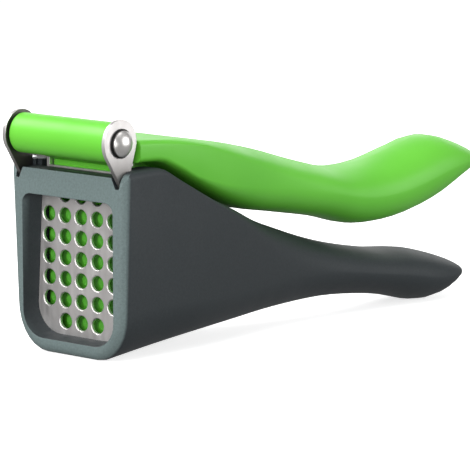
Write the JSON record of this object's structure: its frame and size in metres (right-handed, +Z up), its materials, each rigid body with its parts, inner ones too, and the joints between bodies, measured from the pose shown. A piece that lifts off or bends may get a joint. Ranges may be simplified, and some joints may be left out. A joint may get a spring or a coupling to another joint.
{
  "type": "garlic press",
  "caption": "Hand-held garlic press: a perforated steel sieve in the front of a hopper, and an upper lever that swings a studded pad against it.",
  "frame": {"origin": "middle of the press's footprint, at the height of its lowest point, under the grips", "axes": "+X from the sieve back to the ends of the handles, +Y across to the right of a user who holds the handles and looks at the back of the hopper, +Z up"},
  "size_m": [0.2029, 0.0452, 0.0774],
  "materials": {
    "housing_nylon": "fine matte moulded texture",
    "lever_nylon": "satin",
    "sheet_steel": "satin, tumbled",
    "pin_steel": "polished",
    "washer_black": "matte",
    "bush_acetal": "smooth"
  },
  "bodies": {
    "housing": {"housing": "housing_nylon", "sieve_plate": "sheet_steel", "left_ear": "sheet_steel", "right_ear": "sheet_steel", "left_ear_pins": "pin_steel", "right_ear_pins": "pin_steel", "pivot_pin": "pin_steel", "pivot_cap": "pin_steel", "left_head_washer": "washer_black", "right_head_washer": "washer_black", "left_thrust_washer": "washer_black", "right_thrust_washer": "washer_black"},
    "lever": {"lever": "lever_nylon", "left_bush": "bush_acetal", "right_bush": "bush_acetal", "press_pad": "lever_nylon", "pad_screws": "pin_steel"}
  },
  "joints": [
    {"name": "lever_pivot", "type": "hinge", "parent": "housing", "child": "lever", "pos_m": [-0.09475, 0, 0.0707], "axis": [0, -1, 0], "range_deg": [0, 180]}
  ]
}
